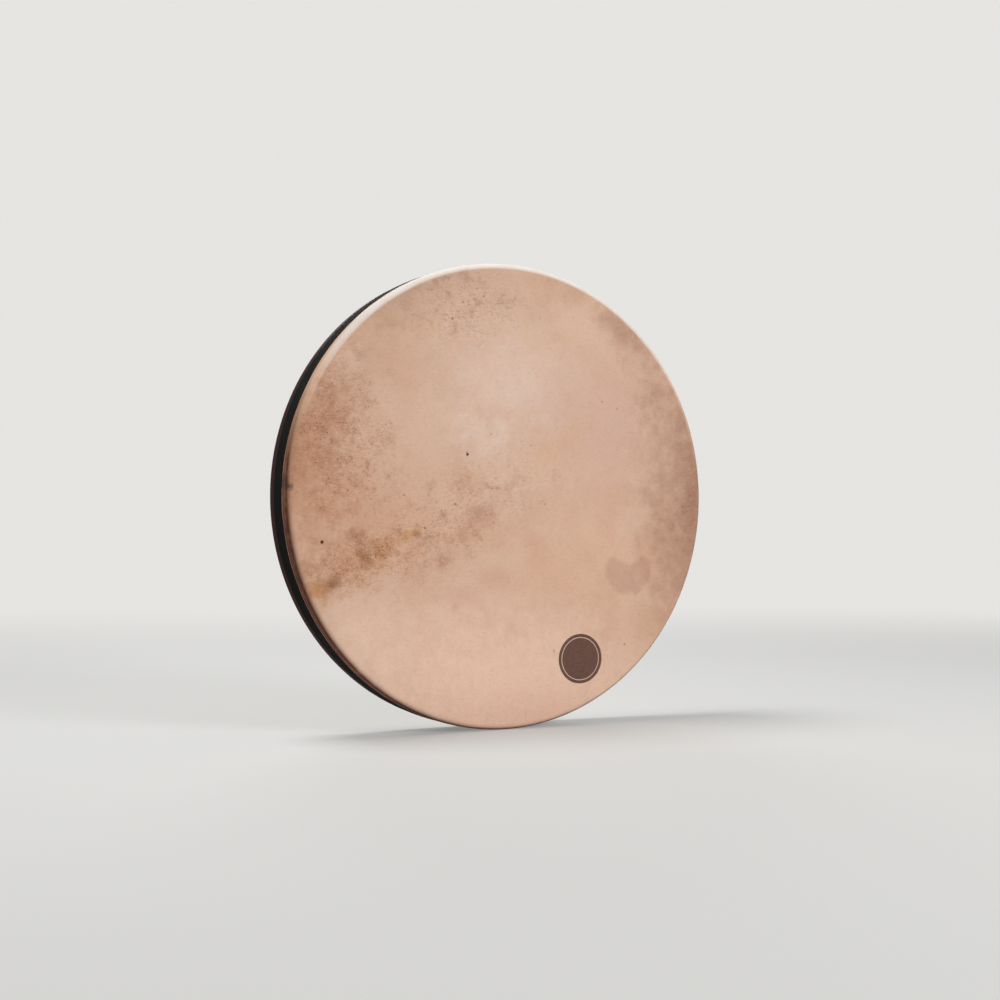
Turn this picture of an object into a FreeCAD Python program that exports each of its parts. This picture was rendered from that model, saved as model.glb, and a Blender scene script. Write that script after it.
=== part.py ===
import FreeCAD, Part
import math
import os

from FreeCAD import Vector

# A single-headed frame drum, standing on its rim as it is put down to be looked at.
# The skin faces -Y, the open back faces +Y and +Z is up. Millimetres.
# The origin is on the floor, below the middle of the drum's depth.

# Overall size
drum_diameter = 457.2  # across the skin's lap, the widest place
drum_depth = 50.3  # from the face of the skin to the rear edge of the frame

# Skin: a flat membrane that turns over the front edge and is glued down round the side
skin_thickness = 0.9
skin_edge_radius = 6.4  # outside of the turn
skin_lap = 15.0  # from the face to the skin's cut edge
skin_cut_chamfer = 0.4  # the pared corner of the cut edge

# Laminated frame: bent plies glued one inside the other
face_ply_thickness = 0.8
core_ply_thickness = 1.75
core_ply_count = 4
glue_line = 0.1  # between two plies, and under the skin
crown_width = 1.6  # flat of the front edge, which carries the skin
inner_bevel_depth = 4.0  # the bevel behind the crown, measured along the wall
rear_edge_radius = 2.0

# Each ply is a strip whose two ends butt in a seam, and no two seams lie together
seam_gap = 0.15
first_seam_angle = -55.0  # degrees from +X towards +Z, on the outer ply
seam_step_angle = 62.0  # degrees from one ply's seam to the next

# Black edge band, glued round the outside from the skin's cut edge backwards
band_width = 21.7
band_thickness = 0.5
band_glue = 0.2  # under the band
band_clearance = 0.3  # between the skin's cut edge and the band
band_end_gap = 0.4  # where the band's two ends meet
band_seam_angle = -38.0

# Thumb hole, bored through the frame at the top, midway between the skin's cut edge and the rear
thumb_hole_diameter = 22.0
thumb_hole_edge_radius = 2.0
thumb_hole_runout = 0.1  # how far its rounded edges run out past the wall's two faces
band_hole_margin = 0.6  # the band is trimmed this far outside the hole's rounded edge

round_facets = 3  # conical facets in each quarter round, whether of skin or wood
overrun = 2.0  # how far a cutting shape passes what it cuts

# Places worked out from the sizes above
drum_radius = drum_diameter / 2
face_y = -drum_depth / 2
rear_y = drum_depth / 2
frame_radius = drum_radius - skin_thickness - glue_line
ply_thicknesses = [face_ply_thickness] + [core_ply_thickness] * core_ply_count + [face_ply_thickness]
wall_thickness = sum(ply_thicknesses) + (len(ply_thicknesses) - 1) * glue_line
bore_radius = frame_radius - wall_thickness
crown_y = face_y + skin_thickness + glue_line
crown_round = skin_edge_radius - skin_thickness - glue_line
centre = Vector(0, 0, drum_radius)
hole_axis_point = Vector(0, (face_y + skin_lap + rear_y) / 2, drum_radius)
drum_axis = Vector(0, 1, 0)
up = Vector(0, 0, 1)
mouth_radius = thumb_hole_diameter / 2 + thumb_hole_edge_radius
mouth_top = drum_radius + frame_radius + thumb_hole_runout
mouth_bottom = drum_radius + math.sqrt(bore_radius**2 - mouth_radius**2) - thumb_hole_runout
bore_top = mouth_top - thumb_hole_edge_radius
bore_bottom = mouth_bottom + thumb_hole_edge_radius


def on_section(radius, y):
    """Point of the half section that is revolved about the drum's axis."""
    return Vector(radius, y, drum_radius)


def line(start, end):
    return Part.LineSegment(start, end).toShape()


def quarter_round(start, corner, end):
    """Facets from start to end along the arc that rounds off the square corner between them."""
    hub = start + end - corner
    turns = [step / round_facets * math.pi / 2 for step in range(round_facets + 1)]
    points = [hub + (start - hub) * math.cos(turn) + (end - hub) * math.sin(turn) for turn in turns]
    return [line(first, second) for first, second in zip(points, points[1:])]


def bent_strip(section, seam_angle, end_gap, radius):
    """A strip of this section bent round the drum's axis until its ends almost meet at the seam."""
    strip = section.revolve(centre, drum_axis, 360 - math.degrees(end_gap / radius))
    strip.rotate(centre, drum_axis, -seam_angle)
    return strip


def frame_section():
    """Section of the whole wall: rounded front edge, crown, inner bevel and softened rear edge."""
    side_front = on_section(frame_radius, crown_y + crown_round)
    crown_outer = on_section(frame_radius - crown_round, crown_y)
    crown_inner = on_section(frame_radius - crown_round - crown_width, crown_y)
    bevel_foot = on_section(bore_radius, crown_y + inner_bevel_depth)
    bore_rear = on_section(bore_radius, rear_y - rear_edge_radius)
    rear_inner = on_section(bore_radius + rear_edge_radius, rear_y)
    rear_outer = on_section(frame_radius - rear_edge_radius, rear_y)
    side_rear = on_section(frame_radius, rear_y - rear_edge_radius)
    edges = [
        *quarter_round(side_front, on_section(frame_radius, crown_y), crown_outer),
        line(crown_outer, crown_inner),
        line(crown_inner, bevel_foot),
        line(bevel_foot, bore_rear),
        *quarter_round(bore_rear, on_section(bore_radius, rear_y), rear_inner),
        line(rear_inner, rear_outer),
        *quarter_round(rear_outer, on_section(frame_radius, rear_y), side_rear),
        line(side_rear, side_front),
    ]
    return Part.Face(Part.Wire(edges))


def rectangle(inner_radius, outer_radius, front, rear):
    """Face on the half section between two radii and two places along the axis."""
    corners = [
        on_section(inner_radius, front),
        on_section(outer_radius, front),
        on_section(outer_radius, rear),
        on_section(inner_radius, rear),
    ]
    return Part.Face(Part.makePolygon(corners + corners[:1]))


def ply_section(outer_radius, thickness):
    """The part of the wall's section that one ply fills."""
    layer = rectangle(outer_radius - thickness, outer_radius, face_y, rear_y + overrun)
    return frame_section().common(layer).Faces[0]


def thumb_hole_cutter():
    """Straight bore whose two mouths flare out in a round to the wall's outer and inner faces."""
    bore = thumb_hole_diameter / 2
    mouth = mouth_radius

    def at(radius, z):
        return Vector(radius, hole_axis_point.y, z)

    edges = [
        line(at(0, mouth_top + overrun), at(mouth, mouth_top + overrun)),
        line(at(mouth, mouth_top + overrun), at(mouth, mouth_top)),
        *quarter_round(at(mouth, mouth_top), at(bore, mouth_top), at(bore, bore_top)),
        line(at(bore, bore_top), at(bore, bore_bottom)),
        *quarter_round(at(bore, bore_bottom), at(bore, mouth_bottom), at(mouth, mouth_bottom)),
        line(at(mouth, mouth_bottom), at(mouth, mouth_bottom - overrun)),
        line(at(mouth, mouth_bottom - overrun), at(0, mouth_bottom - overrun)),
        line(at(0, mouth_bottom - overrun), at(0, mouth_top + overrun)),
    ]
    return Part.Face(Part.Wire(edges)).revolve(hole_axis_point, up, 360)


def frame_plies():
    """Named plies from the outside in."""
    hole = thumb_hole_cutter()
    names = ["outer_face_ply"]
    names += [f"core_ply_{number}" for number in range(1, core_ply_count + 1)]
    names += ["inner_face_ply"]
    plies = {}
    outer_radius = frame_radius
    for place, (name, thickness) in enumerate(zip(names, ply_thicknesses)):
        seam_angle = first_seam_angle + place * seam_step_angle
        strip = bent_strip(ply_section(outer_radius, thickness), seam_angle, seam_gap, outer_radius)
        plies[name] = strip.cut(hole)
        outer_radius -= thickness + glue_line
    return plies


def goat_skin():
    """Membrane, turned edge and side lap in one piece, tight on the frame."""
    inner_radius = drum_radius - skin_thickness
    face_rim = drum_radius - skin_edge_radius
    back_y = face_y + skin_thickness
    turn_y = face_y + skin_edge_radius
    cut_y = face_y + skin_lap
    corner_start = on_section(drum_radius, cut_y - skin_cut_chamfer)
    corner_end = on_section(drum_radius - skin_cut_chamfer, cut_y)
    outside, inside = on_section(drum_radius, turn_y), on_section(inner_radius, turn_y)
    front_rim, back_rim = on_section(face_rim, face_y), on_section(face_rim, back_y)
    edges = [
        line(on_section(0, face_y), front_rim),
        *quarter_round(front_rim, on_section(drum_radius, face_y), outside),
        line(outside, corner_start),
        line(corner_start, corner_end),
        line(corner_end, on_section(inner_radius, cut_y)),
        line(on_section(inner_radius, cut_y), inside),
        *quarter_round(inside, on_section(inner_radius, back_y), back_rim),
        line(back_rim, on_section(0, back_y)),
        line(on_section(0, back_y), on_section(0, face_y)),
    ]
    return Part.Face(Part.Wire(edges)).revolve(centre, drum_axis, 360)


def edge_band():
    """Thin strip bent round the frame, its ends butted, trimmed back round the thumb hole."""
    front = face_y + skin_lap + band_clearance
    inner_radius = frame_radius + band_glue
    outer_radius = inner_radius + band_thickness
    section = rectangle(inner_radius, outer_radius, front, front + band_width)
    strip = bent_strip(section, band_seam_angle, band_end_gap, outer_radius)
    trim = Part.makeCylinder(
        mouth_radius + band_hole_margin,
        outer_radius + overrun,
        hole_axis_point,
        up,
    )
    return strip.cut(trim)


def main():
    os.makedirs("parts", exist_ok=True)
    nodes = frame_plies()
    nodes["goat_skin"] = goat_skin()
    nodes["edge_band"] = edge_band()
    for name, shape in nodes.items():
        solids = Part.makeCompound(shape.Solids)
        solids.exportStep(f"parts/{name}.step")
        print(name, len(shape.Solids), "valid" if shape.isValid() else "not valid", round(shape.Volume), "mm3")
    print("thumb hole wall from z", round(bore_bottom, 3), "to", round(bore_top, 3))


main()
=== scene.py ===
import bpy
import math
import mathutils
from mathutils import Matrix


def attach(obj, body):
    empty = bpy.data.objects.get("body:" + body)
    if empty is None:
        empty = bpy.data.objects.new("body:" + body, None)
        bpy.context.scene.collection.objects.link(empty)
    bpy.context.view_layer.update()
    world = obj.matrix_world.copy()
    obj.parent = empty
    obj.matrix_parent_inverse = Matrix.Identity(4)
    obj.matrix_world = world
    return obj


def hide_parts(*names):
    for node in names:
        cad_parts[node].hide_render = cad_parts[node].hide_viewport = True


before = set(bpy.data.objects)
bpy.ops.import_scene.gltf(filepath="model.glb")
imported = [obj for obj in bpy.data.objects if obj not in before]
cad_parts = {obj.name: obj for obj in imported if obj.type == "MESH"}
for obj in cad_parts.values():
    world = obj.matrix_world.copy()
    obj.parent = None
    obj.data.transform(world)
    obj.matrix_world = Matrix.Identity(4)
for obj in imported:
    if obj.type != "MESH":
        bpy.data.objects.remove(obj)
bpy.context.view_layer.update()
scene = bpy.context.scene
print("frame loaded:", len(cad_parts), "nodes")

# Sizes that several pieces share, in metres: the drum stands on its rim, skin towards -Y
drum = {
    "radius": 0.2286,
    "face": -0.02515,
    "rear": 0.02515,
    "frameRadius": 0.2276,
    "holeY": 0.0075,  # the thumb hole's place along the drum's axis
    "sharpAngle": 38,  # degrees: an edge that turns further stays sharp
}


# Shorthands for building node trees
def feed(tree, socket, value):
    if isinstance(value, bpy.types.NodeSocket):
        tree.links.new(value, socket)
    elif isinstance(value, bpy.types.Node):
        tree.links.new(value.outputs[0], socket)
    else:
        socket.default_value = value


def addNode(tree, kind, feeds=None, **settings):
    node = tree.nodes.new(kind)
    for name, value in settings.items():
        setattr(node, name, value)
    for socket, value in (feeds or {}).items():
        feed(tree, node.inputs[socket], value)
    return node


def calc(tree, operation, *values):
    return addNode(tree, "ShaderNodeMath", dict(enumerate(values)), operation=operation).outputs[0]


def product(tree, first, *others):
    for value in others:
        first = calc(tree, "MULTIPLY", first, value)
    return first


def total(tree, first, *others):
    for value in others:
        first = calc(tree, "ADD", first, value)
    return first


def less(tree, first, second):
    return calc(tree, "SUBTRACT", first, second)


def slant(tree, first, second):  # length of the slope over two steps at right angles
    return calc(tree, "SQRT", total(tree, product(tree, first, first), product(tree, second, second)))


def pair(tree, operation, *vectors):  # vector maths, which gives the node
    return addNode(tree, "ShaderNodeVectorMath", dict(enumerate(vectors)), operation=operation)


def stretch(tree, vector, amounts):
    return pair(tree, "MULTIPLY", vector, amounts).outputs["Vector"]


def parts(tree, vector):
    return addNode(tree, "ShaderNodeSeparateXYZ", {"Vector": vector}).outputs


def point(tree, x=0.0, y=0.0, z=0.0):
    return addNode(tree, "ShaderNodeCombineXYZ", {"X": x, "Y": y, "Z": z})


def onDrum(tree, radius, angle, depth, axisHeight):  # the point at this radius and turn about the drum's axis
    rise = total(tree, axisHeight, product(tree, radius, calc(tree, "SINE", angle)))
    return point(tree, product(tree, radius, calc(tree, "COSINE", angle)), depth, rise)


def fade(tree, value, start, end, low=0.0, high=1.0):  # smooth change from low to high between start and end
    feeds = {"Value": value, "From Min": start, "From Max": end, "To Min": low, "To Max": high}
    return addNode(tree, "ShaderNodeMapRange", feeds, interpolation_type="SMOOTHSTEP").outputs[0]


def noise(tree, vector, scale, detail, roughness=0.5, distortion=0.0):
    feeds = {"Vector": vector, "Scale": scale, "Detail": detail, "Roughness": roughness, "Distortion": distortion}
    return addNode(tree, "ShaderNodeTexNoise", feeds).outputs["Fac"]


def blendColour(tree, factor, first, second):
    return addNode(tree, "ShaderNodeMix", {0: factor, 6: first, 7: second}, data_type="RGBA").outputs[2]


def tint(tree, colour, added, *amounts):  # lays a second colour on, as strongly as the amounts multiplied
    return blendColour(tree, product(tree, *amounts), colour, added)


def useGroup(tree, group, feeds):
    return addNode(tree, "ShaderNodeGroup", feeds, node_tree=group).outputs


def objectPlace(tree):
    return addNode(tree, "ShaderNodeTexCoord").outputs["Object"]


def flatPlace(tree):  # where a point of a bent strip lies on the strip laid out flat
    return addNode(tree, "ShaderNodeAttribute", attribute_name="flatPlace").outputs["Vector"]


def seenDirectly(tree):  # 1 for the camera's own rays, mirrored ones and those through glass
    rays = addNode(tree, "ShaderNodeLightPath").outputs
    near = calc(tree, "MAXIMUM", rays["Is Camera Ray"], rays["Is Glossy Ray"])
    return calc(tree, "MAXIMUM", near, rays["Is Transmission Ray"])


def newTree(name, kind, inputs, outputs):
    tree = bpy.data.node_groups.new(name, kind)
    for label, form, value in inputs:
        socket = tree.interface.new_socket(name=label, in_out="INPUT", socket_type="NodeSocket" + form)
        if value is not None:
            socket.default_value = value
    for label, form in outputs:
        tree.interface.new_socket(name=label, in_out="OUTPUT", socket_type="NodeSocket" + form)
    return tree, tree.nodes.new("NodeGroupInput").outputs, tree.nodes.new("NodeGroupOutput").inputs


def newMaterial(name, **settings):
    material = bpy.data.materials.new(name)
    material.use_nodes = True
    tree = material.node_tree
    shader = tree.nodes["Principled BSDF"]
    for label, value in settings.items():
        shader.inputs[label.replace("_", " ")].default_value = value
    return material, tree, shader


def dress(tree, shader, colour, rough, height, setup):  # gives the shader its linked inputs
    feeds = {"Strength": setup["bumpStrength"], "Distance": setup["bump"], "Height": height}
    bump = addNode(tree, "ShaderNodeBump", feeds)
    for label, value in (("Base Color", colour), ("Roughness", rough), ("Normal", bump)):
        feed(tree, shader.inputs[label], value)


def tone(code):  # a colour as it is picked on screen, such as c8a088
    shares = [int(code[place : place + 2], 16) / 255 for place in (0, 2, 4)]
    return (*[share / 12.92 if share < 0.04045 else ((share + 0.055) / 1.055) ** 2.4 for share in shares], 1.0)


# Shorthands for outlines
def arc(hub, radius, first, last, steps):  # points of a round on the half section
    turns = [math.radians(first + (last - first) * step / steps) for step in range(steps + 1)]
    return [(hub[0] + radius * math.cos(turn), hub[1] + radius * math.sin(turn)) for turn in turns]


def between(first, last, steps):  # points of a straight run, without its first
    return [tuple(a + (b - a) * step / steps for a, b in zip(first, last)) for step in range(1, steps + 1)]


def chain(name, points, closed):  # a line of edges, drawn with the radius along X and the depth along Y
    mesh = bpy.data.meshes.new(name)
    edges = [(place, place + 1) for place in range(len(points) - 1)]
    if closed:
        edges.append((len(points) - 1, 0))
    mesh.from_pydata([(radius, depth, 0) for radius, depth in points], edges, [])
    return mesh


def grow(name, startMesh, tree, values):  # runs a geometry tree and keeps its result as a plain mesh
    piece = bpy.data.objects.new(name, startMesh)
    scene.collection.objects.link(piece)
    modifier = piece.modifiers.new("Shape", "NODES")
    modifier.node_group = tree
    for item in tree.interface.items_tree:
        if item.in_out == "INPUT" and item.name in values:
            modifier[item.identifier] = values[item.name]
    graph = bpy.context.evaluated_depsgraph_get()
    shaped = piece.evaluated_get(graph)
    mesh = bpy.data.meshes.new_from_object(shaped, preserve_all_data_layers=True, depsgraph=graph)
    piece.modifiers.remove(modifier)
    piece.data = mesh
    mesh.name = name
    mesh.shade_smooth()
    mesh.set_sharp_from_angle(angle=math.radians(drum["sharpAngle"]))
    return piece


# The skin's own patterns: scale, detail, roughness, distortion
skinNoise = {
    "cloud": (14.0, 5.0, 0.55, 0.5),
    "mottle": (62.0, 6.0, 0.68, 0.4),
    "blots": (210.0, 5.0, 0.72, 0.3),
    "threads": (480.0, 5.0, 0.80, 0.4),
    "hairs": (560.0, 2.0, 0.5, 0.9),
    "fine": (1100.0, 3.0, 0.6),
    "wander": (70.0, 6.0, 0.66),
    "freckles": (520.0, 3.0, 0.7),
    "veins": (9.0, 2.0, 0.45, 0.6),
}

skinGrainSetup = {
    "threadStretch": (0.42, 1.0, 1.0),
    "hairStretch": (0.09, 1.0, 1.0),
    "scratchLevels": (0.64, 0.73),
    "scratchPatches": (0.44, 0.58),
    "pores": (0.46, 0.10, 0.45),  # reach of a dot in its cell, its dark core, cells without one
    "specks": (0.48, 0.12, 0.70),
    "speckScale": 580.0,
    "threadHeight": 0.55,
    "fineHeight": 0.35,
    "poreDepth": 0.40,
}


def scattered(tree, place, scale, reach, core, empty):  # dots on some of the cells of a pattern
    cells = addNode(tree, "ShaderNodeTexVoronoi", {"Vector": place, "Scale": scale, "Randomness": 1.0}).outputs
    chosen = addNode(tree, "ShaderNodeTexWhiteNoise", {"Vector": cells["Position"]})
    return product(tree, fade(tree, cells["Distance"], reach, core), fade(tree, chosen, empty, 1.0))


def skinGrainGroup():
    setup = skinGrainSetup
    labels = ("Cloud", "Mottle", "Blots", "Threads", "Scratches", "Pores", "Specks", "Height")
    tree, put, out = newTree(
        "Skin Grain",
        "ShaderNodeTree",
        [("Place", "Vector", None), ("Pore Scale", "Float", 640.0), ("Thread Turn", "Float", 0.04)],
        [(label, "Float") for label in labels],
    )
    place = put["Place"]
    turn = point(tree, y=put["Thread Turn"])
    turned = addNode(tree, "ShaderNodeMapping", {"Vector": place, "Rotation": turn})
    names = ("cloud", "mottle", "blots", "fine")
    cloud, mottle, blots, fine = [noise(tree, place, *skinNoise[name]) for name in names]
    threads = noise(tree, stretch(tree, turned, setup["threadStretch"]), *skinNoise["threads"])
    hairs = noise(tree, stretch(tree, turned, setup["hairStretch"]), *skinNoise["hairs"])
    patches = fade(tree, mottle, *setup["scratchPatches"])
    scratches = product(tree, fade(tree, hairs, *setup["scratchLevels"]), patches)
    pores = scattered(tree, place, put["Pore Scale"], *setup["pores"])
    specks = scattered(tree, place, setup["speckScale"], *setup["specks"])
    height = total(tree, product(tree, threads, setup["threadHeight"]), product(tree, fine, setup["fineHeight"]))
    height = less(tree, height, product(tree, pores, setup["poreDepth"]))
    for label, value in zip(labels, (cloud, mottle, blots, threads, scratches, pores, specks, height)):
        feed(tree, out[label], value)
    return tree


markWander = 2.4  # how far a fully ragged mark's outline wanders, in its own radii


def skinMarkGroup():  # one mark: an oval whose outline wanders and whose inside is speckled
    tree, put, out = newTree(
        "Skin Mark",
        "ShaderNodeTree",
        [
            ("Place", "Vector", None),
            ("Centre", "Vector", (0.0, 0.0, 0.0)),
            ("Long Axis", "Vector", (100.0, 0.0, 0.0)),
            ("Short Axis", "Vector", (0.0, 0.0, 100.0)),
            ("Softness", "Float", 0.8),
            ("Wander", "Float", 0.5),
            ("Ragged", "Float", 0.5),
            ("Speckle", "Float", 0.5),
            ("Grit", "Float", 0.5),
        ],
        [("Mask", "Float")],
    )
    local = pair(tree, "SUBTRACT", put["Place"], put["Centre"])
    along, across = [
        pair(tree, "DOT_PRODUCT", local, put[label]).outputs["Value"] for label in ("Long Axis", "Short Axis")
    ]
    shift = product(tree, less(tree, put["Wander"], 0.5), product(tree, put["Ragged"], markWander))
    reach = total(tree, slant(tree, along, across), shift)
    mask = fade(tree, reach, 1.0, less(tree, 1.0, put["Softness"]))
    broken = total(tree, product(tree, put["Speckle"], put["Grit"]), less(tree, 1.0, put["Grit"]))
    feed(tree, out["Mask"], product(tree, mask, broken))
    return tree


skinGrain = skinGrainGroup()
skinMark = skinMarkGroup()

head = {
    "ground": tone("dbb59b"),
    "groundShare": 0.66,
    "pale": tone("e2c4af"),
    "brown": tone("ca9f83"),
    "cloudLevels": (0.34, 0.66),
    "shade": tone("97593a"),
    "light": tone("ecd8c9"),
    "pore": tone("743d20"),
    "speck": tone("441f09"),
    "dot": tone("4a2210"),
    "dotCore": 0.35,  # share of a dot's radius that is fully dark
    "speckleShares": (0.6, 0.4),  # of the blots and of the freckles
    "speckleLevels": (0.42, 0.60),
    "leastBusy": 0.12,
    "poreAmounts": (0.66, 0.02),  # more where the skin is busy, and least
    "poreClumps": (0.66, 0.34, 0.40, 1.0),
    "dirty": (0.15, 1.0),
    "scratches": 0.42,
    "clumpShares": (0.4, 0.6),  # of the blots and of the mottle
    "clumps": (0.60, 0.40, 0.20, 0.95),
    "leastDust": 0.85,
    "rough": (0.3, 0.7, 0.52, 0.64),
    "lapRougher": 0.1,
    "inkSmoother": 0.12,
    "bumpStrength": 0.8,
    "bump": 0.00022,
}

# Changes from the face to the side: where each starts and ends, and from what to what. The pale rim is painted
# highlight, shown over the upper half only and palest at the top, as light from above leaves it
headEdge = {
    "rimHighlightTop": tone("e3dad2"),
    "rimHighlightLow": tone("f0caad"),
    "rimHighlightBand": (0.2224, 0.2250),
    "rimHighlightPatches": (0.30, 0.60, 0.75, 0.92),
    "rimHighlightRise": (0.02, 0.16),
    "rimHighlightPaler": (0.08, 0.18),
    # The lap: paler towards the top and palest next to the rim as painted light; its dark tan lower down is partly
    # its own dirtier skin and partly painted shade
    "lapLitTop": tone("d3aa88"),
    "lap": tone("835439"),
    "lapShadeTone": tone("5c2d20"),
    "lapLater": (-0.02, 0.13, 0.0, 0.004),  # near the top the lap's darker tone starts further back
    "lapStart": (-0.0250, -0.0213, 0.0, 0.97),
    "lapLitFade": (0.03, 0.13),
    "lapHighlight": (0.12, 0.19, 0.0, 0.85),
    # Painted shade on the lap: patchy, and strongest towards the bottom
    "shadeLower": (0.12, -0.09, -0.10, 0.09),
    "shadeLevels": (0.40, 0.64),
    "shadeFades": (0.05, 0.11, 1.0, 0.10),
    "cutEdge": tone("c4a083"),
    "cutStart": (-0.0124, -0.0108),
    "cutPatches": (0.25, 0.6, 0.45, 0.9),
}

# A plain ink disc with one thin bare ring
stamp = {
    "ink": tone("5c4037"),
    "at": (0.0827, -0.1621),  # across and up from the middle of the head
    "radius": 0.025,
    "blur": 0.0004,
    "ring": (0.0207, 0.0214),
    "ringBlur": 0.0003,
    "wobble": 0.0005,
    "thin": (0.30, 0.60, 0.98, 0.93),
    "front": (-0.0240, -0.0245),
}

# Where the skin is busy with blots and pores: across, up, half length, half width, turn, softness, ragged, amount
busyZones = {
    "left": (-0.178, 0.052, 0.142, 0.09, 78, 1.0, 0.7, 1.15),
    "top": (-0.045, 0.185, 0.1, 0.062, 0, 1.0, 0.7, 0.85),
    "belt": (-0.075, -0.03, 0.18, 0.07, -31, 1.0, 0.6, 0.82),
    "right": (0.215, 0.0, 0.125, 0.03, 88, 1.0, 0.7, 0.7),
    "centre": (0.02, 0.01, 0.09, 0.06, -30, 1.0, 0.8, 0.4),
    "stains": (-0.15, -0.058, 0.095, 0.042, -27, 1.0, 0.5, 1.5),
}

# Grain over the marks: pattern, its start and end, more where the skin is busy, least, colour
headLayers = [
    ("Mottle", 0.54, 0.28, 0.42, 0.0, "shade"),
    ("Blots", 0.5, 0.26, 0.44, 0.0, "shade"),
    ("Blots", 0.52, 0.74, 0.26, 0.0, "light"),
    ("Threads", 0.5, 0.3, 0.44, 0.12, "shade"),
    ("Threads", 0.54, 0.72, 0.352, 0.096, "light"),
]

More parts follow.
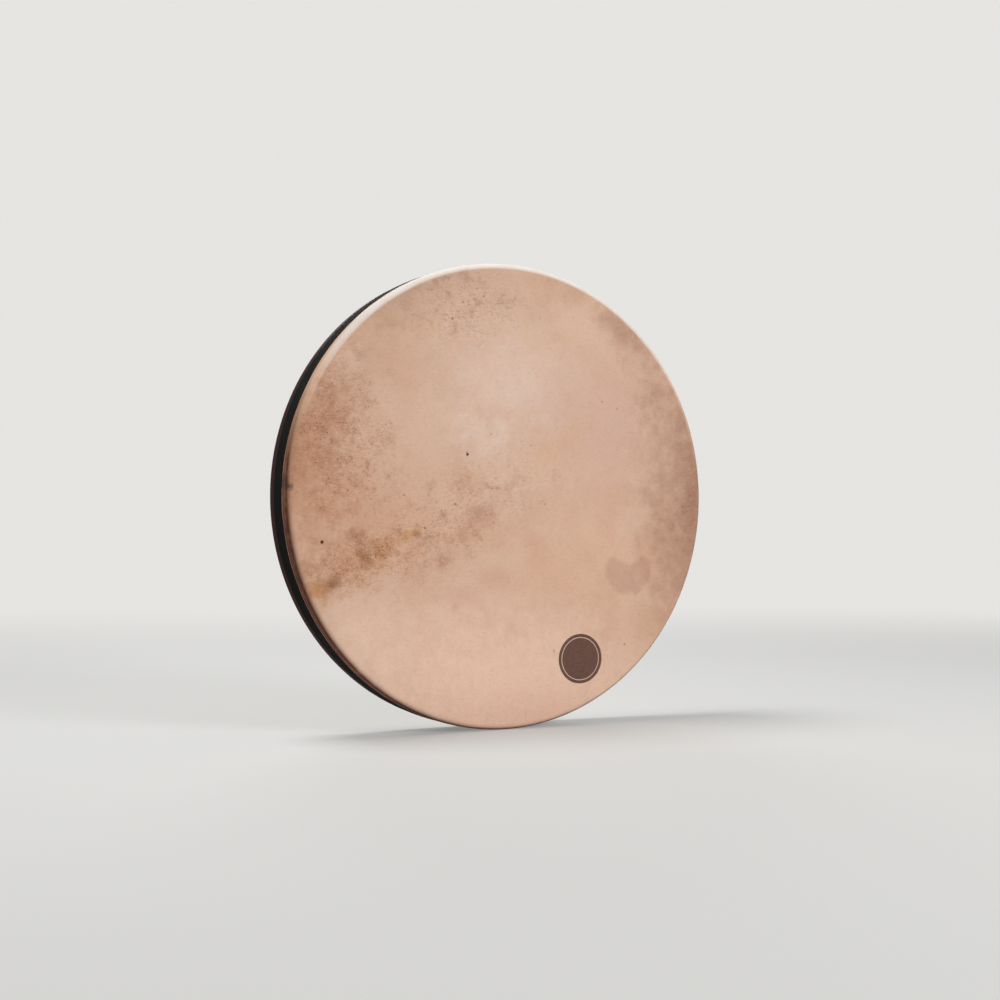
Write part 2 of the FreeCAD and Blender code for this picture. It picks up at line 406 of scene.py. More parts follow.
# Marks on the head: across, up, half length, half width, turn, softness, ragged, grit, strength, tone
headMarks = {
    "paleTop": (0.005, 0.11, 0.13, 0.09, 15, 1.0, 0.5, 0.0, 0.6, "e6cdbf"),
    "paleCore": (-0.03, 0.055, 0.06, 0.036, 15, 1.0, 0.6, 0.0, 0.34, "ebd8cc"),
    "paleLow": (-0.025, -0.18, 0.235, 0.125, 0, 1.0, 0.4, 0.0, 0.95, "efcbb6"),
    "bottomWarm": (0.015, -0.214, 0.13, 0.046, 0, 1.0, 0.4, 0.0, 0.2, "dfab90"),
    "paleLeft": (-0.15, -0.125, 0.065, 0.05, 30, 1.0, 0.4, 0.0, 0.4, "f1d1be"),
    "coolRight": (0.115, 0.075, 0.11, 0.12, 0, 1.0, 0.4, 0.0, 0.5, "d5b1a6"),
    "paleMid": (0.0, 0.01, 0.07, 0.045, -30, 1.0, 0.5, 0.0, 0.35, "e6cab8"),
    "leftShade": (-0.225, 0.045, 0.088, 0.168, 4, 1.0, 0.5, 0.1, 0.75, "b98360"),
    "leftWarm": (-0.15, -0.02, 0.09, 0.1, 0, 1.0, 0.5, 0.1, 0.5, "ca9676"),
    "rightShade": (0.26, 0.01, 0.146, 0.34, 0, 1.0, 0.3, 0.1, 0.95, "986d58"),
    "rightHigh": (0.169, 0.098, 0.022, 0.034, 0, 1.0, 0.7, 0.5, 0.4, "a47a62"),
    "rightLow": (0.17, -0.025, 0.024, 0.034, 0, 1.0, 0.7, 0.4, 0.2, "a87a64"),
    "rightPatch": (0.211, -0.022, 0.01, 0.03, 8, 1.0, 0.4, 0.3, 0.22, "94694f"),
    "topShade": (-0.03, 0.21, 0.11, 0.05, 4, 1.0, 0.6, 0.2, 0.34, "c3a191"),
    "topCorner": (-0.105, 0.195, 0.085, 0.04, -30, 1.0, 0.5, 0.2, 0.55, "b08a74"),
    "topRight": (0.075, 0.21, 0.055, 0.03, 20, 1.0, 0.6, 0.2, 0.35, "b58a6e"),
    "rightTop": (0.133, 0.17, 0.03, 0.058, -42, 1.0, 0.6, 0.3, 0.68, "a87e68"),
    "smear": (-0.145, 0.13, 0.032, 0.058, 25, 1.0, 0.6, 0.3, 0.3, "b08262"),
    "redTop": (-0.1765, 0.0981, 0.026, 0.034, 20, 1.0, 0.6, 0.4, 0.3, "a9765a"),
    "redMid": (-0.185, 0.0691, 0.028, 0.022, -25, 1.0, 0.7, 0.5, 0.32, "9f6d52"),
    "redLow": (-0.1904, 0.032, 0.022, 0.02, 35, 1.0, 0.7, 0.5, 0.35, "a27257"),
    "belt": (-0.08, -0.026, 0.165, 0.044, -31, 1.0, 0.6, 0.25, 0.28, "d2a081"),
    "beltDark": (-0.03, -0.022, 0.065, 0.016, -42, 1.0, 0.8, 0.6, 0.36, "a86a4c"),
    "warmBand": (0.0595, 0.0515, 0.075, 0.026, -38, 1.0, 0.6, 0.0, 0.34, "d8b08a"),
    "warmLow": (0.07, -0.07, 0.09, 0.045, -15, 1.0, 0.6, 0.0, 0.38, "d6ab8b"),
    "greyMid": (-0.0343, -0.015, 0.014, 0.01, -40, 1.0, 0.7, 0.6, 0.22, "965e3f"),
    "greyLow": (-0.069, -0.0616, 0.032, 0.016, -20, 1.0, 0.8, 0.7, 0.3, "ab7459"),
    "stainHaze": (-0.166, -0.063, 0.072, 0.036, -25, 1.0, 0.6, 0.3, 0.46, "c08a60"),
    "stainLow": (-0.196, -0.086, 0.026, 0.028, -30, 1.0, 0.6, 0.45, 0.62, "ae7444"),
    "stainEdge": (-0.2015, -0.0665, 0.016, 0.011, -20, 1.0, 0.6, 0.5, 0.55, "9c6845"),
    "stainOrange": (-0.1975, -0.09, 0.014, 0.013, 30, 1.0, 0.8, 0.5, 0.58, "c4884f"),
    "stainCore": (-0.183, -0.082, 0.014, 0.011, -40, 1.0, 0.35, 0.35, 0.95, "7e481f"),
    "stainBand": (-0.135, -0.052, 0.05, 0.018, -27, 1.0, 0.5, 0.4, 0.66, "c48f59"),
    "stainTip": (-0.106, -0.037, 0.022, 0.01, -27, 1.0, 0.6, 0.3, 0.6, "c7945c"),
    "streak": (-0.152, -0.059, 0.024, 0.011, 58, 0.9, 0.55, 0.45, 0.68, "84502a"),
    "streakTop": (-0.159, -0.037, 0.018, 0.012, 20, 1.0, 0.6, 0.8, 0.6, "84501f"),
    "tipCore": (-0.0974, -0.0366, 0.007, 0.004, 0, 1.0, 0.6, 0.4, 0.65, "7a5639"),
    "pinkSpot": (-0.057, -0.1071, 0.008, 0.005, -35, 1.0, 0.4, 0.0, 0.5, "d09a86"),
    "pinkMid": (-0.015, -0.08, 0.03, 0.02, 0, 1.0, 0.7, 0.3, 0.4, "c58c74"),
    "pinkLow": (-0.048, -0.095, 0.036, 0.016, 10, 1.0, 0.7, 0.3, 0.32, "c88d76"),
    "pinkRight": (0.033, -0.056, 0.02, 0.026, 0, 1.0, 0.7, 0.2, 0.28, "c98f77"),
    "smudge": (0.0525, -0.1534, 0.0022, 0.003, 0, 0.8, 0.2, 0.0, 0.45, "a08a6c"),
    "redDot": (0.1345, -0.1495, 0.0016, 0.0014, 0, 0.7, 0.1, 0.0, 0.8, "9a5c44"),
    # The crease is only a darker line: painted shade in its fold
    "creaseShade": (0.0204, -0.2143, 0.0007, 0.008, 0, 1.0, 0.3, 0.0, 0.45, "a17a64"),
}

# The same for two smudges on the left rim, which lie over the rim's tones and its painted shade
rimSmudges = {
    "round": (-0.2256, 0.0078, 0.0056, 0.0056, 0, 1.0, 0.4, 0.3, 0.95, "42352b"),
    "long": (-0.2292, 0.013, 0.0046, 0.0085, 0, 1.0, 0.4, 0.3, 0.8, "3f3027"),
}

# The one patch with a clear edge: two ovals that lean on each other
headPatch = {
    "ovals": [
        (0.1285, -0.0795, 0.025, 0.017, 56, 0.35, 0.28, 0.1),
        (0.1515, -0.0795, 0.025, 0.017, -56, 0.35, 0.28, 0.1),
    ],
    "strength": 0.42,
    "tone": tone("b4846f"),
}

# Dark dots on the head: across, up, radius, strength
headDots = [
    (-0.0436, 0.0404, 0.002, 1.0),
    (-0.0441, 0.0425, 0.0011, 0.7),
    (-0.1943, -0.0436, 0.0024, 1.0),
    (-0.089, -0.0309, 0.0013, 0.8),
    (-0.111, 0.0006, 0.0014, 0.45),
    (-0.1684, 0.0049, 0.0013, 0.6),
    (-0.145, -0.0034, 0.0012, 0.5),
    (-0.057, -0.0078, 0.0014, 0.6),
    (-0.0599, 0.1712, 0.0015, 0.7),
    (-0.0485, 0.1879, 0.0014, 0.5),
    (-0.0257, 0.1951, 0.0013, 0.6),
    (-0.018, 0.0607, 0.0012, 0.5),
    (0.0265, 0.0504, 0.0011, 0.5),
    (-0.0169, 0.0073, 0.0012, 0.55),
    (-0.0147, -0.0256, 0.0011, 0.5),
    (0.0423, -0.0074, 0.0012, 0.55),
    (0.1083, 0.0963, 0.0013, 0.45),
    (0.126, 0.0895, 0.0012, 0.4),
]


def headMaterial():
    material, tree, shader = newMaterial(
        "headOutside", Sheen_Weight=0.04, Sheen_Roughness=0.45, Specular_IOR_Level=0.06,
        Subsurface_Weight=0.06, Subsurface_Scale=0.0015,
    )
    place = objectPlace(tree)
    x, y, z = parts(tree, place)
    up = less(tree, z, drum["radius"])
    onHead = point(tree, x=x, z=up)
    radius = pair(tree, "LENGTH", onHead).outputs["Value"]
    grain = useGroup(tree, skinGrain, {"Place": place})
    mottle, blots = grain["Mottle"], grain["Blots"]
    wander, freckles = [noise(tree, place, *skinNoise[name]) for name in ("wander", "freckles")]

    def awayFrom(across, upward):
        return pair(tree, "DISTANCE", onHead, (across, 0.0, upward)).outputs["Value"]

    def mixed(first, second, shares):
        return total(tree, product(tree, first, shares[0]), product(tree, second, shares[1]))

    speckle = fade(tree, mixed(blots, freckles, head["speckleShares"]), *head["speckleLevels"])

    def markMask(across, upward, length, width, turn, softness, ragged, grit):
        lean, tilt = math.cos(math.radians(turn)), math.sin(math.radians(turn))
        feeds = {
            "Place": onHead, "Centre": (across, 0.0, upward), "Long Axis": (lean / length, 0.0, -tilt / length),
            "Short Axis": (tilt / width, 0.0, lean / width), "Softness": softness, "Wander": wander,
            "Ragged": ragged, "Speckle": speckle, "Grit": grit,
        }
        return useGroup(tree, skinMark, feeds)["Mask"]

    busy = head["leastBusy"]
    for *shape, amount in busyZones.values():
        busy = calc(tree, "MAXIMUM", busy, product(tree, markMask(*shape, 0.0), amount))

    colour = blendColour(tree, fade(tree, grain["Cloud"], *head["cloudLevels"]), head["brown"], head["pale"])
    colour = blendColour(tree, head["groundShare"], colour, head["ground"])
    patch = calc(tree, "MAXIMUM", *[markMask(*oval) for oval in headPatch["ovals"]])
    colour = tint(tree, colour, headPatch["tone"], patch, headPatch["strength"])
    for *shape, strength, code in headMarks.values():
        colour = tint(tree, colour, tone(code), markMask(*shape), strength)
    for label, start, end, more, least, name in headLayers:
        amount = calc(tree, "MULTIPLY_ADD", busy, more, least)
        colour = tint(tree, colour, head[name], fade(tree, grain[label], start, end), amount)
    porous = calc(tree, "MULTIPLY_ADD", busy, *head["poreAmounts"])
    colour = tint(tree, colour, head["pore"], grain["Pores"], fade(tree, mottle, *head["poreClumps"]), porous)
    dirty = fade(tree, busy, *head["dirty"])
    colour = tint(tree, colour, head["pore"], grain["Scratches"], dirty, head["scratches"])
    clumps = fade(tree, mixed(blots, mottle, head["clumpShares"]), *head["clumps"])
    dusty = calc(tree, "MAXIMUM", busy, head["leastDust"])
    colour = tint(tree, colour, head["speck"], grain["Specks"], clumps, dirty, dusty)
    for across, upward, size, strength in headDots:
        dot = fade(tree, awayFrom(across, upward), size, size * head["dotCore"], 0.0, strength)
        colour = tint(tree, colour, head["dot"], dot)

    edge = headEdge
    # Painted highlight: the rounding made paler over the upper half of the drum
    rimHighlightTone = blendColour(tree, fade(tree, up, *edge["rimHighlightPaler"]), edge["rimHighlightLow"], edge["rimHighlightTop"])
    rim = product(tree, fade(tree, radius, *edge["rimHighlightBand"]), fade(tree, mottle, *edge["rimHighlightPatches"]))
    colour = tint(tree, colour, rimHighlightTone, rim, fade(tree, up, *edge["rimHighlightRise"]))
    lap = fade(tree, less(tree, y, fade(tree, up, *edge["lapLater"])), *edge["lapStart"])
    # The lap's tone: painted light near the top, its own darker skin and painted shade lower down
    lapLitAndShadedTone = blendColour(tree, fade(tree, up, *edge["lapLitFade"]), edge["lap"], edge["lapLitTop"])
    lapLitAndShadedTone = tint(tree, lapLitAndShadedTone, edge["rimHighlightTop"], fade(tree, up, *edge["lapHighlight"]))
    # Painted shade: the lap darkened in patches, most towards the bottom
    sideShade = fade(tree, total(tree, wander, fade(tree, up, *edge["shadeLower"])), *edge["shadeLevels"])
    lapLitAndShadedTone = tint(tree, lapLitAndShadedTone, edge["lapShadeTone"], sideShade, fade(tree, up, *edge["shadeFades"]))
    colour = tint(tree, colour, lapLitAndShadedTone, lap)
    cut = fade(tree, y, *edge["cutStart"])
    colour = tint(tree, colour, edge["cutEdge"], cut, fade(tree, wander, *edge["cutPatches"]))
    for *shape, strength, code in rimSmudges.values():
        colour = tint(tree, colour, tone(code), markMask(*shape), strength)

    away = total(tree, awayFrom(*stamp["at"]), product(tree, less(tree, blots, 0.5), stamp["wobble"]))
    disc = fade(tree, away, stamp["radius"], stamp["radius"] - stamp["blur"])
    inner, outer = stamp["ring"]
    ringStart = fade(tree, away, inner, inner + stamp["ringBlur"])
    ring = product(tree, ringStart, fade(tree, away, outer + stamp["ringBlur"], outer))
    inked = product(tree, disc, less(tree, 1.0, ring))
    ink = product(tree, inked, fade(tree, grain["Threads"], *stamp["thin"]), fade(tree, y, *stamp["front"]))
    colour = tint(tree, colour, stamp["ink"], ink)

    rough = total(tree, fade(tree, mottle, *head["rough"]), product(tree, lap, head["lapRougher"]))
    rough = less(tree, rough, product(tree, ink, head["inkSmoother"]))
    dress(tree, shader, colour, rough, grain["Height"], head)
    return material


headBack = {
    "ground": tone("e3c8ad"),
    "brown": tone("cfab8b"),
    "vein": tone("a97f60"),
    "poreScale": 380.0,
    "threadTurn": -0.5,
    "cloudLevels": (0.32, 0.68),
    "mottleLevels": (0.60, 0.36, 0.0, 0.35),
    "veinWidth": (0.022, 0.0),
    "veinPatches": (0.46, 0.62, 0.0, 0.32),
    "veinHeight": 0.5,
    "threadLevels": (0.56, 0.34, 0.0, 0.35),
    "rough": (0.3, 0.7, 0.68, 0.86),
    "bumpStrength": 0.8,
    "bump": 0.0004,
}


def headBackMaterial():
    material, tree, shader = newMaterial(
        "headFleshSide", Sheen_Weight=0.25, Sheen_Roughness=0.6, Specular_IOR_Level=0.25,
        Subsurface_Weight=0.06, Subsurface_Scale=0.0015,
    )
    back = headBack
    place = objectPlace(tree)
    feeds = {"Place": place, "Pore Scale": back["poreScale"], "Thread Turn": back["threadTurn"]}
    grain = useGroup(tree, skinGrain, feeds)
    colour = blendColour(tree, fade(tree, grain["Cloud"], *back["cloudLevels"]), back["brown"], back["ground"])
    colour = tint(tree, colour, back["brown"], fade(tree, grain["Mottle"], *back["mottleLevels"]))
    ridge = calc(tree, "ABSOLUTE", less(tree, noise(tree, place, *skinNoise["veins"]), 0.5))
    veins = product(tree, fade(tree, ridge, *back["veinWidth"]), fade(tree, grain["Cloud"], *back["veinPatches"]))
    colour = tint(tree, colour, back["vein"], veins)
    colour = tint(tree, colour, back["brown"], fade(tree, grain["Threads"], *back["threadLevels"]))
    rough = fade(tree, grain["Threads"], *back["rough"])
    height = total(tree, grain["Height"], product(tree, veins, back["veinHeight"]))
    dress(tree, shader, colour, rough, height, back)
    return material


wood = {
    "dark": tone("271312"),
    "red": tone("49211a"),
    "pore": tone("170c0b"),
    "worn": tone("7c4a38"),
    "plyPale": tone("7d4a34"),
    "plyDark": tone("3a2019"),
    "plyPitch": 0.00185,
    "plyShare": 0.45,
    "figure": (70.0, 4.0, 0.55, 0.5),  # scale, detail, roughness, distortion
    "figureStretch": (0.10, 1.0, 1.0),
    "figureLevels": (0.40, 0.64, 0.0, 0.5),
    "streaks": (5.0, 0.62, 0.2),
    "streakStretch": (0.035, 1.0, 1.0),
    "streakLevels": (0.34, 0.66),
    "streakScale": 230.0,
    "edgeStreakScale": 420.0,
    "dashes": (2.0, 0.5),
    "dashStretch": (0.085, 1.0, 1.0),
    "dashLevels": (0.60, 0.70),
    "poreShare": 0.75,
    "heights": (0.4, 0.6),  # of the streaks, and down into the pores
    "rubbed": (60.0, 5.0, 0.65),
    "rubbedLevels": (0.46, 0.66),
    "rubbedWidth": 0.0018,
    "rubbedShare": 0.5,
    "rubbedRougher": 0.2,
    "rough": (0.3, 0.7, 0.46, 0.58),
    "bumpStrength": 0.7,
    "bump": 0.00012,
}


def bentGrainGroup():
    tree, put, out = newTree(
        "Bent Wood Grain",
        "ShaderNodeTree",
        [("Place", "Vector", None), ("Streak Scale", "Float", 230.0), ("Pore Scale", "Float", 900.0)],
        [("Streaks", "Float"), ("Figure", "Float"), ("Pores", "Float"), ("Height", "Float")],
    )
    place = put["Place"]
    figure = noise(tree, stretch(tree, place, wood["figureStretch"]), *wood["figure"])
    streaks = noise(tree, stretch(tree, place, wood["streakStretch"]), put["Streak Scale"], *wood["streaks"])
    dashes = noise(tree, stretch(tree, place, wood["dashStretch"]), put["Pore Scale"], *wood["dashes"])
    pores = fade(tree, dashes, *wood["dashLevels"])
    raised, sunk = wood["heights"]
    height = less(tree, product(tree, streaks, raised), product(tree, pores, sunk))
    for label, value in (("Streaks", streaks), ("Figure", figure), ("Pores", pores), ("Height", height)):
        feed(tree, out[label], value)
    return tree


def rubbedGroup():
    tree, put, out = newTree(
        "Rubbed Edge",
        "ShaderNodeTree",
        [("Place", "Vector", None), ("Depth", "Float", 0.0), ("Edge", "Float", 0.02515), ("Width", "Float", 0.0015)],
        [("Mask", "Float")],
    )
    rub = fade(tree, put["Depth"], less(tree, put["Edge"], put["Width"]), put["Edge"])
    patches = fade(tree, noise(tree, put["Place"], *wood["rubbed"]), *wood["rubbedLevels"])
    feed(tree, out["Mask"], product(tree, rub, patches))
    return tree


bentGrain = bentGrainGroup()
rubbed = rubbedGroup()


def woodMaterial(name, onEdge, coat):
    material, tree, shader = newMaterial(name, Coat_Weight=coat, Coat_Roughness=0.4, Specular_IOR_Level=0.02)
    flat, place = flatPlace(tree), objectPlace(tree)
    scale = wood["edgeStreakScale"] if onEdge else wood["streakScale"]
    grain = useGroup(tree, bentGrain, {"Place": flat, "Streak Scale": scale})
    colour = blendColour(tree, fade(tree, grain["Streaks"], *wood["streakLevels"]), wood["dark"], wood["red"])
    colour = tint(tree, colour, wood["dark"], fade(tree, grain["Figure"], *wood["figureLevels"]))
    if onEdge:
        inwards = less(tree, drum["frameRadius"], parts(tree, flat)["Z"])
        ply = calc(tree, "FLOOR", calc(tree, "DIVIDE", inwards, wood["plyPitch"]))
        layer = addNode(tree, "ShaderNodeTexWhiteNoise", {"W": ply}, noise_dimensions="1D")
        colour = tint(tree, colour, blendColour(tree, layer, wood["plyDark"], wood["plyPale"]), wood["plyShare"])
    colour = tint(tree, colour, wood["pore"], grain["Pores"], wood["poreShare"])
    feeds = {"Place": place, "Depth": parts(tree, place)["Y"], "Edge": drum["rear"], "Width": wood["rubbedWidth"]}
    wear = useGroup(tree, rubbed, feeds)["Mask"]
    colour = tint(tree, colour, wood["worn"], wear, wood["rubbedShare"])
    rough = total(tree, fade(tree, grain["Streaks"], *wood["rough"]), product(tree, wear, wood["rubbedRougher"]))
    dress(tree, shader, colour, rough, grain["Height"], wood)
    return material


# A black cloth band; its near-black is darker than the cloth, as painted shadow that the lap's edge casts on the
# wall
tape = {
    "black": tone("0e0d0d"),
    "thread": tone("191817"),
    "dust": tone("3a3735"),
    "pitch": 0.00055,
    "lint": (320.0, 4.0, 0.7),
    "lintLevels": (0.60, 0.76, 0.0, 0.45),
    "cloud": (40.0, 3.0),
    "cloudLevels": (0.3, 0.7, 0.6, 1.0),
    "rough": (0.0, 1.0, 0.96, 0.84),
    "bumpStrength": 0.7,
    "bump": 0.00012,
}


def tapeAndShadowMaterial():  # a plain weave
    material, tree, shader = newMaterial("blackTapeAndLapShadow", Specular_IOR_Level=0.05)
    place = objectPlace(tree)
    along, across, _ = parts(tree, flatPlace(tree))
    warp, weft = [calc(tree, "DIVIDE", value, tape["pitch"]) for value in (along, across)]
    waves = [calc(tree, "SINE", product(tree, value, math.pi)) for value in (warp, weft)]
    over, under = [calc(tree, "ABSOLUTE", wave) for wave in waves]
    parity = total(tree, calc(tree, "FLOOR", warp), calc(tree, "FLOOR", weft))
    parity = calc(tree, "FLOORED_MODULO", parity, 2.0)
    weave = total(tree, product(tree, over, parity), product(tree, under, less(tree, 1.0, parity)))
    lint = fade(tree, noise(tree, place, *tape["lint"]), *tape["lintLevels"])
    cloud = fade(tree, noise(tree, place, *tape["cloud"]), *tape["cloudLevels"])
    colour = tint(tree, tape["black"], tape["thread"], weave, cloud)
    colour = tint(tree, colour, tape["dust"], lint)
    dress(tree, shader, colour, fade(tree, weave, *tape["rough"]), weave, tape)
    return material


headOutside = headMaterial()
headInside = headBackMaterial()
veneerFinish = woodMaterial("stainedVeneer", False, 0.03)
plyFinish = woodMaterial("stainedPlyEdge", True, 0.04)
tapeAndShadowFinish = tapeAndShadowMaterial()
print("finishes made")


# The thumb hole's shape, cut out of every ply
thumbHole = {
    "bore": 0.011,
    "round": 0.002,
    "roundSteps": 10,
    "mouthTop": 0.4563,
    "mouthBottom": 0.446613,
    "bandGap": 0.0006,
    "overrun": 0.003,
    "bandOverrun": 0.01,
    "sides": 96,
}


def turnedCutter(name, profile, sides):  # a solid turned about the hole's upright axis
    vertices, faces = [], []
    for radius, height in profile:
        for side in range(sides):
            turn = 2 * math.pi * side / sides
            vertices.append((radius * math.cos(turn), drum["holeY"] + radius * math.sin(turn), height))
    for ring in range(len(profile) - 1):
        for side in range(sides):
            first, second = ring * sides + side, ring * sides + (side + 1) % sides
            faces.append((first, first + sides, second + sides, second))
    faces.append([len(vertices) - sides + side for side in range(sides)][::-1])
    faces.append(list(range(sides)))
    mesh = bpy.data.meshes.new(name)
    mesh.from_pydata(vertices, [], faces)
    cutter = bpy.data.objects.new(name, mesh)
    scene.collection.objects.link(cutter)
    return cutter


mouth = thumbHole["bore"] + thumbHole["round"]
top = thumbHole["mouthTop"]
bottom = thumbHole["mouthBottom"]
holeProfile = [(mouth, top + thumbHole["overrun"])]
for height, start in ((top - thumbHole["round"], 90), (bottom + thumbHole["round"], 180)):
    holeProfile += arc((mouth, height), thumbHole["round"], start, start + 90, thumbHole["roundSteps"])
holeProfile.append((mouth, bottom - thumbHole["overrun"]))
holeCutter = turnedCutter("holeCutter", holeProfile, thumbHole["sides"])
trim = mouth + thumbHole["bandGap"]
trimProfile = [(trim, top + thumbHole["bandOverrun"]), (trim, bottom)]
bandCutter = turnedCutter("bandCutter", trimProfile, thumbHole["sides"])


def position(tree):
    return addNode(tree, "GeometryNodeInputPosition").outputs["Position"]


def moved(tree, geometry, place):
    return addNode(tree, "GeometryNodeSetPosition", {"Geometry": geometry, "Position": place})


def painted(tree, geometry, finish, chosen=True):
    feeds = {"Geometry": geometry, "Selection": chosen, "Material": finish}
    return addNode(tree, "GeometryNodeSetMaterial", feeds)


def sweep(tree, outline, end, sections, caps):  # carries an outline along a straight line to this end
    profile = addNode(tree, "GeometryNodeMeshToCurve", {"Mesh": outline})
    line = addNode(tree, "GeometryNodeCurvePrimitiveLine", {"End": end})
    path = addNode(tree, "GeometryNodeResampleCurve", {"Curve": line, "Count": sections})
    return addNode(tree, "GeometryNodeCurveToMesh", {"Curve": path, "Profile Curve": profile, "Fill Caps": caps})


# A strip laid out flat, bent round the drum's axis and pierced
def bentStripTree():
    tree, put, out = newTree(
        "Bent Strip",
        "GeometryNodeTree",
        [
            ("Geometry", "Geometry", None),
            ("Bend Radius", "Float", 0.2),
            ("End Gap", "Float", 0.00015),
            ("Seam Angle", "Float", 0.0),
            ("Axis Height", "Float", 0.2286),
            ("Sections", "Int", 720),
            ("Hole", "Object", None),
            ("Grain Shift", "Float", 0.0),
            ("Finish", "Material", None),
        ],
        [("Geometry", "Geometry")],
    )
    axisHeight, bend, gap, seam = put["Axis Height"], put["Bend Radius"], put["End Gap"], put["Seam Angle"]
    length = less(tree, product(tree, bend, 2 * math.pi), gap)
    strip = sweep(tree, put["Geometry"], point(tree, length), put["Sections"], True)

    x, y, z = parts(tree, position(tree))
    angle = less(tree, seam, calc(tree, "DIVIDE", x, bend))
    radius, depth = [product(tree, value, -1.0) for value in (y, z)]
    ring = moved(tree, strip, onDrum(tree, radius, angle, depth, axisHeight))
    hole = addNode(tree, "GeometryNodeObjectInfo", {"Object": put["Hole"]}).outputs["Geometry"]
    feeds = {"Mesh 1": ring, "Mesh 2": hole}
    pierced = addNode(tree, "GeometryNodeMeshBoolean", feeds, operation="DIFFERENCE", solver="EXACT")

    x, y, z = parts(tree, position(tree))
    height = less(tree, z, axisHeight)
    halfGap = calc(tree, "DIVIDE", calc(tree, "DIVIDE", gap, bend), 2.0)
    turned = total(tree, less(tree, seam, calc(tree, "ARCTAN2", height, x)), halfGap)
    turned = less(tree, calc(tree, "FLOORED_MODULO", turned, 2 * math.pi), halfGap)
    along = total(tree, product(tree, turned, bend), put["Grain Shift"])
    flat = point(tree, along, y, slant(tree, x, height))
    feeds = {"Geometry": pierced, "Name": "flatPlace", "Value": flat}
    kept = addNode(tree, "GeometryNodeStoreNamedAttribute", feeds, data_type="FLOAT_VECTOR", domain="POINT")
    whole = addNode(tree, "GeometryNodeRealizeInstances", {"Geometry": kept})
    feed(tree, out["Geometry"], painted(tree, whole, put["Finish"]))
    return tree


bentStrip = bentStripTree()

wall = {
    "faceVeneer": 0.0008,
    "core": 0.00175,
    "coreCount": 4,
    "glueLine": 0.0001,
    "crownY": -0.02415,
    "crownRound": 0.0054,
    "crownFlat": 0.0016,
    "bevelDepth": 0.0040,
    "rearRound": 0.0020,
    "boreRadius": 0.2185,
    "firstSeam": -55,
    "seamStep": 62,
    "seamGap": 0.00015,
    "grainStep": 3.7,  # from one ply's piece of the grain to the next
    "sections": 721,
    "depthSteps": 14,
    "coreSteps": 16,
    "veneerSteps": 12,
}


def wallFront(radius):  # how far forward the wall comes at this radius
    shoulder = drum["frameRadius"] - wall["crownRound"]
    if radius > shoulder:
        return wall["crownY"] + wall["crownRound"] - math.sqrt(wall["crownRound"] ** 2 - (radius - shoulder) ** 2)
    slope = wall["bevelDepth"] / (shoulder - wall["crownFlat"] - wall["boreRadius"])
    return wall["crownY"] + max(0.0, shoulder - wall["crownFlat"] - radius) * slope


def wallRear(radius):  # how far back it goes
    turn = wall["rearRound"]
    past = max(radius - (drum["frameRadius"] - turn), wall["boreRadius"] + turn - radius, 0.0)
    return drum["rear"] - turn + math.sqrt(max(turn**2 - past**2, 0.0))


def plyProfile(outer, inner, steps):  # closed outline of one ply, drawn so that its faces point outwards
    across = [outer] + [radius for radius, _ in between((outer, 0), (inner, 0), steps)]
    rearLine = [(radius, wallRear(radius)) for radius in across]
    frontLine = [(radius, wallFront(radius)) for radius in across]
    points = between(frontLine[0], rearLine[0], wall["depthSteps"])
    points += rearLine[1:]
    points += between(rearLine[-1], frontLine[-1], wall["depthSteps"])
    points += frontLine[-2::-1]
    return points[::-1]


coreNames = [f"core_ply_{number + 1}" for number in range(wall["coreCount"])]
plyNames = ["outer_face_ply", *coreNames, "inner_face_ply"]
pieces = []
outer = drum["frameRadius"]
for place, node in enumerate(plyNames):
    facing = node.endswith("face_ply")
    thickness = wall["faceVeneer"] if facing else wall["core"]
    values = {
        "Bend Radius": outer,
        "End Gap": wall["seamGap"],
        "Seam Angle": math.radians(wall["firstSeam"] + place * wall["seamStep"]),
        "Axis Height": drum["radius"],
        "Sections": wall["sections"],
        "Hole": holeCutter,
        "Grain Shift": place * wall["grainStep"],
        "Finish": veneerFinish if facing else plyFinish,
    }
    name = "".join(word.capitalize() if number else word for number, word in enumerate(node.split("_")))
    profile = plyProfile(outer, outer - thickness, wall["veneerSteps" if facing else "coreSteps"])
    ply = grow(name, chain(name, profile, True), bentStrip, values)
    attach(ply, "root")
    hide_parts(node)
    pieces.append(ply)
    outer -= thickness + wall["glueLine"]
print("plies bent:", len(pieces))

# The band's near-black finish also stands in for the shadow the lap casts on the wall
band = {
    "front": -0.00985,
    "width": 0.0217,
    "inner": 0.2278,
    "thickness": 0.0005,
    "corner": 0.00012,
    "cornerSteps": 3,
    "depthSteps": 12,
    "endGap": 0.0004,
    "seam": -38,
    "sections": 721,
}


def bandProfile():
    corner, steps, depthSteps = band["corner"], band["cornerSteps"], band["depthSteps"]
    inner, outer = band["inner"] + corner, band["inner"] + band["thickness"] - corner
    front, rear = band["front"] + corner, band["front"] + band["width"] - corner
    points = arc((inner, front), corner, 180, 270, steps) + arc((outer, front), corner, 270, 360, steps)
    points += between((outer + corner, front), (outer + corner, rear), depthSteps)[:-1]
    points += arc((outer, rear), corner, 0, 90, steps) + arc((inner, rear), corner, 90, 180, steps)
    points += between((inner - corner, rear), (inner - corner, front), depthSteps)[:-1]
    return points[::-1]


values = {
    "Bend Radius": band["inner"] + band["thickness"],
    "End Gap": band["endGap"],
    "Seam Angle": math.radians(band["seam"]),
    "Axis Height": drum["radius"],
    "Sections": band["sections"],
    "Hole": bandCutter,
    "Finish": tapeAndShadowFinish,
}
edgeBand = grow("edgeBand", chain("edgeBand", bandProfile(), True), bentStrip, values)
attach(edgeBand, "root")
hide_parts("edge_band")
pieces.append(edgeBand)
bpy.data.objects.remove(holeCutter)
bpy.data.objects.remove(bandCutter)
print("edge band bent")


